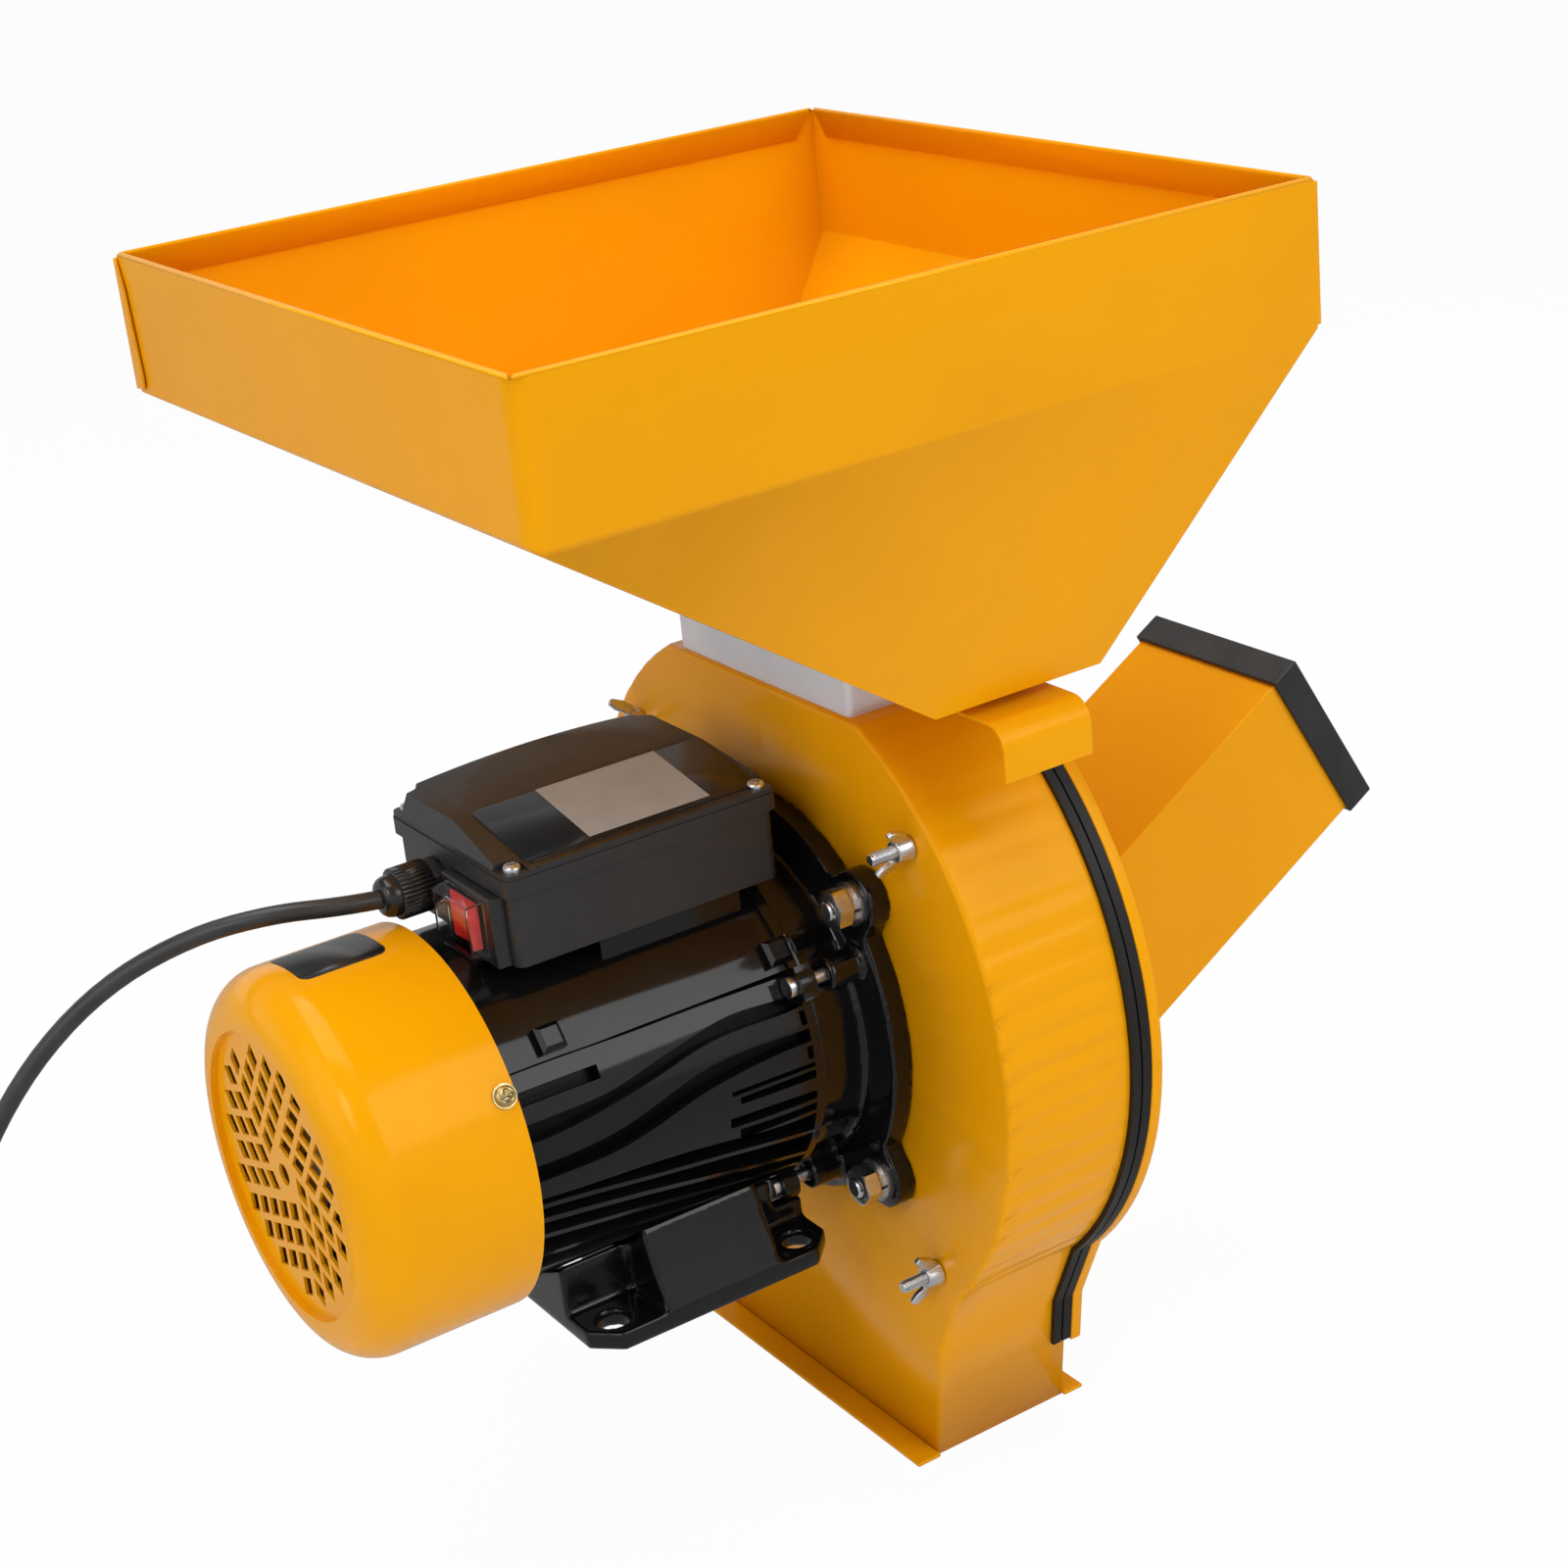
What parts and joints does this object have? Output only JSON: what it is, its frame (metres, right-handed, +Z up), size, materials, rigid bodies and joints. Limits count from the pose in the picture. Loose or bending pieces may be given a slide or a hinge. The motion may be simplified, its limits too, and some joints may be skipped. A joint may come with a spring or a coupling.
{
  "type": "electric grain mill",
  "caption": "Electric hammer mill for feed: sheet hopper with a slide gate over a round grinding housing, a side chute on the removable cover, and a flanged motor with a mains lead.",
  "frame": {"origin": "centre of the four foot bolt holes, on the underside of the motor foot", "axes": "+X across the machine, +Y along the shaft from the fan to the feed chute, +Z up"},
  "size_m": [0.4877, 0.9081, 0.5948],
  "materials": {
    "yellow_coat": "gloss powder coat",
    "cowl_coat": "gloss paint",
    "black_casting": "gloss black paint on a casting",
    "box_plastic": "satin moulded plastic",
    "gland_plastic": "satin nylon",
    "black_rubber": "dull extruded rubber",
    "cord_rubber": "smooth cord sheath",
    "zinc": "bright zinc plate",
    "yellow_zinc": "yellow passivated zinc plate",
    "gate_steel": "gloss powder coat",
    "white_nylon": "milky machined plastic",
    "plate_metal": "satin foil",
    "rocker_red": "clear red",
    "clear_cover": "clear soft plastic",
    "switch_black": "moulded",
    "bare_steel": "ground",
    "core_steel": "laminated",
    "copper": "enamelled wire",
    "fan_plastic": "moulded",
    "grey_plastic": "moulded",
    "pin_brass": "nickel plate"
  },
  "bodies": {
    "base": {"housing_shell": "yellow_coat", "sieve_ring": "bare_steel", "sieve_screen": "bare_steel", "housing_seal": "black_rubber", "neck_block": "white_nylon", "hopper": "yellow_coat", "neck_screws": "zinc", "neck_nuts": "zinc", "motor_frame": "black_casting", "motor_foot": "black_casting", "foot_screws": "zinc", "flange_bracket": "black_casting", "bracket_screws": "zinc", "flange_bolts": "zinc", "flange_nuts": "zinc", "flange_washers": "zinc", "rear_shield": "black_casting", "fan_cowl": "cowl_coat", "cowl_screws": "yellow_zinc", "stator_core": "core_steel", "stator_windings": "copper", "bearing_outers": "bare_steel", "bearing_balls": "bare_steel", "terminal_box": "box_plastic", "box_lid": "box_plastic", "lid_screws": "zinc", "rating_plate": "plate_metal", "run_capacitor": "grey_plastic", "terminal_block": "grey_plastic", "switch_body": "switch_black", "switch_cover": "clear_cover", "cable_gland": "gland_plastic", "gland_nut": "gland_plastic", "gland_locknut": "gland_plastic", "cord_tail": "cord_rubber", "mains_cord": "cord_rubber", "cord_coil": "cord_rubber", "cord_plug": "cord_rubber", "plug_pins": "pin_brass"},
    "rotor": {"motor_shaft": "bare_steel", "rotor_core": "core_steel", "bearing_inners": "bare_steel", "cooling_fan": "fan_plastic", "rotor_hub": "bare_steel", "beater_bars": "bare_steel", "bar_spacers": "bare_steel", "clamp_washer": "zinc", "shaft_nut": "zinc"},
    "cover": {"front_cover": "yellow_coat", "feed_chute": "yellow_coat", "chute_trim": "black_rubber", "cover_studs": "zinc"},
    "gate": {"feed_gate": "gate_steel"},
    "rocker": {"switch_rocker": "rocker_red"},
    "wing_1": {"wing_nut_1": "zinc"},
    "wing_2": {"wing_nut_2": "zinc"},
    "wing_3": {"wing_nut_3": "zinc"},
    "wing_4": {"wing_nut_4": "zinc"}
  },
  "joints": [
    {"name": "rotor_spin", "type": "hinge", "parent": "base", "child": "rotor", "pos_m": [0, 0, 0.104], "axis": [0, 1, 0], "continuous": true},
    {"name": "gate_slide", "type": "slide", "parent": "base", "child": "gate", "axis": [1, 0, 0], "range_m": [0, 0.082]},
    {"name": "cover_lift_off", "type": "slide", "parent": "base", "child": "cover", "axis": [0, 1, 0], "range_m": [0, 0.11]},
    {"name": "rocker_tilt", "type": "hinge", "parent": "base", "child": "rocker", "pos_m": [0.0205, -0.0675, 0.2012], "axis": [0, 0, 1], "range_deg": [0, 18]},
    {"name": "wing_nut_1_turn", "type": "hinge", "parent": "base", "child": "wing_1", "pos_m": [0.113, 0.099, 0.209], "axis": [0, 1, 0], "continuous": true},
    {"name": "wing_nut_2_turn", "type": "hinge", "parent": "base", "child": "wing_2", "pos_m": [-0.113, 0.099, 0.209], "axis": [0, 1, 0], "continuous": true},
    {"name": "wing_nut_3_turn", "type": "hinge", "parent": "base", "child": "wing_3", "pos_m": [0.106, 0.099, -0.01], "axis": [0, 1, 0], "continuous": true},
    {"name": "wing_nut_4_turn", "type": "hinge", "parent": "base", "child": "wing_4", "pos_m": [-0.106, 0.099, -0.01], "axis": [0, 1, 0], "continuous": true}
  ]
}
